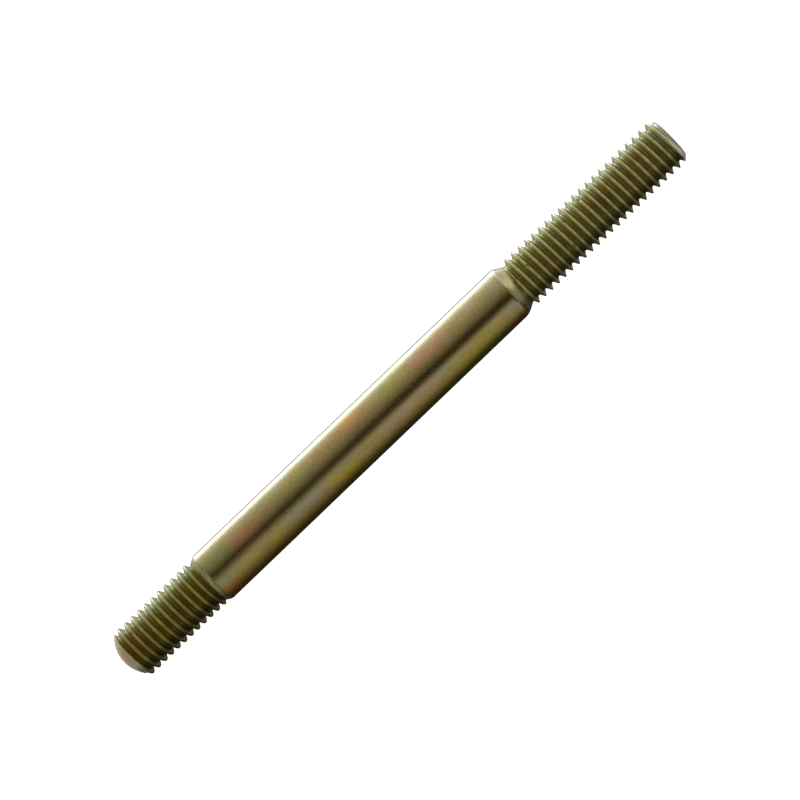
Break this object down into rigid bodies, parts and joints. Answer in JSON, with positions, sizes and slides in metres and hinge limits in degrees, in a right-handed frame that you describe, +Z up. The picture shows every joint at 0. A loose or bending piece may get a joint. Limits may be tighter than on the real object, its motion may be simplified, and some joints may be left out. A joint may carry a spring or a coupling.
{
  "type": "stud bolt",
  "caption": "Double-ended stud bolt: a plain round shank between a short threaded end with a domed point and a longer threaded end with a chamfered flat point.",
  "frame": {"origin": "centre of the flat point that the bolt stands on", "axes": "+Z up the bolt's axis, from the flat point of the long threaded end to the domed point of the short one"},
  "size_m": [0.008, 0.008, 0.104],
  "materials": {
    "plated_steel": "yellow zinc plate over steel: satin, olive yellow, with faint rainbow patches"
  },
  "bodies": {
    "root": {"stud_bolt": "plated_steel"}
  },
  "joints": []
}
